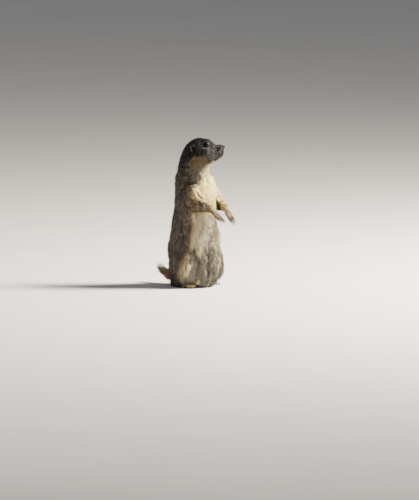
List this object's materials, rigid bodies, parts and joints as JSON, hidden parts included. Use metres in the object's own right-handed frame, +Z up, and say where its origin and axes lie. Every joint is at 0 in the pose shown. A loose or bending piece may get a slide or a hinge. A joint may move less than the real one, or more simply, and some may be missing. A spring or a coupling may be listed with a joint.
{
  "type": "prairie dog",
  "caption": "Life-size prairie dog sitting upright on its haunches, forepaws held before its chest, head turned to its left.",
  "frame": {"origin": "on the floor under the belly, at the middle of the body's flat rest", "axes": "+Z up; the body faces -Y and its own left side is +X; the head is turned 28 degrees from -Y towards +X"},
  "size_m": [0.1108, 0.1805, 0.2826],
  "materials": {
    "crown": "short dark grizzled coat",
    "jaw": "short pale olive-buff coat",
    "back": "grizzled grey-brown coat",
    "belly": "pale cream coat",
    "limbs": "short buff coat",
    "tail": "coarse buff hair in a brush",
    "nose": "bare dark skin",
    "eye": "polished near-black",
    "claw": "dark horn"
  },
  "bodies": {
    "root": {"hind_claw_left_1": "claw", "hind_claw_left_2": "claw", "hind_claw_left_3": "claw", "hind_claw_left_4": "claw", "hind_claw_left_5": "claw", "hind_foot_left": "limbs", "haunch_left": "back", "hind_claw_right_1": "claw", "hind_claw_right_2": "claw", "hind_claw_right_3": "claw", "hind_claw_right_4": "claw", "hind_claw_right_5": "claw", "hind_foot_right": "limbs", "haunch_right": "back", "upper_arm_left": "limbs", "forearm_left": "limbs", "forepaw_left": "limbs", "front_claw_left_1": "claw", "front_claw_left_2": "claw", "front_claw_left_3": "claw", "front_claw_left_4": "claw", "front_claw_left_5": "claw", "upper_arm_right": "limbs", "forearm_right": "limbs", "forepaw_right": "limbs", "front_claw_right_1": "claw", "front_claw_right_2": "claw", "front_claw_right_3": "claw", "front_claw_right_4": "claw", "front_claw_right_5": "claw", "abdomen": "belly", "chest": "belly", "neck": "back", "tail_root": "tail", "tail_brush": "tail", "head": "crown", "lower_jaw": "jaw", "nose": "nose", "eye_left": "eye", "ear_left": "crown", "eye_right": "eye", "ear_right": "crown"}
  },
  "joints": []
}
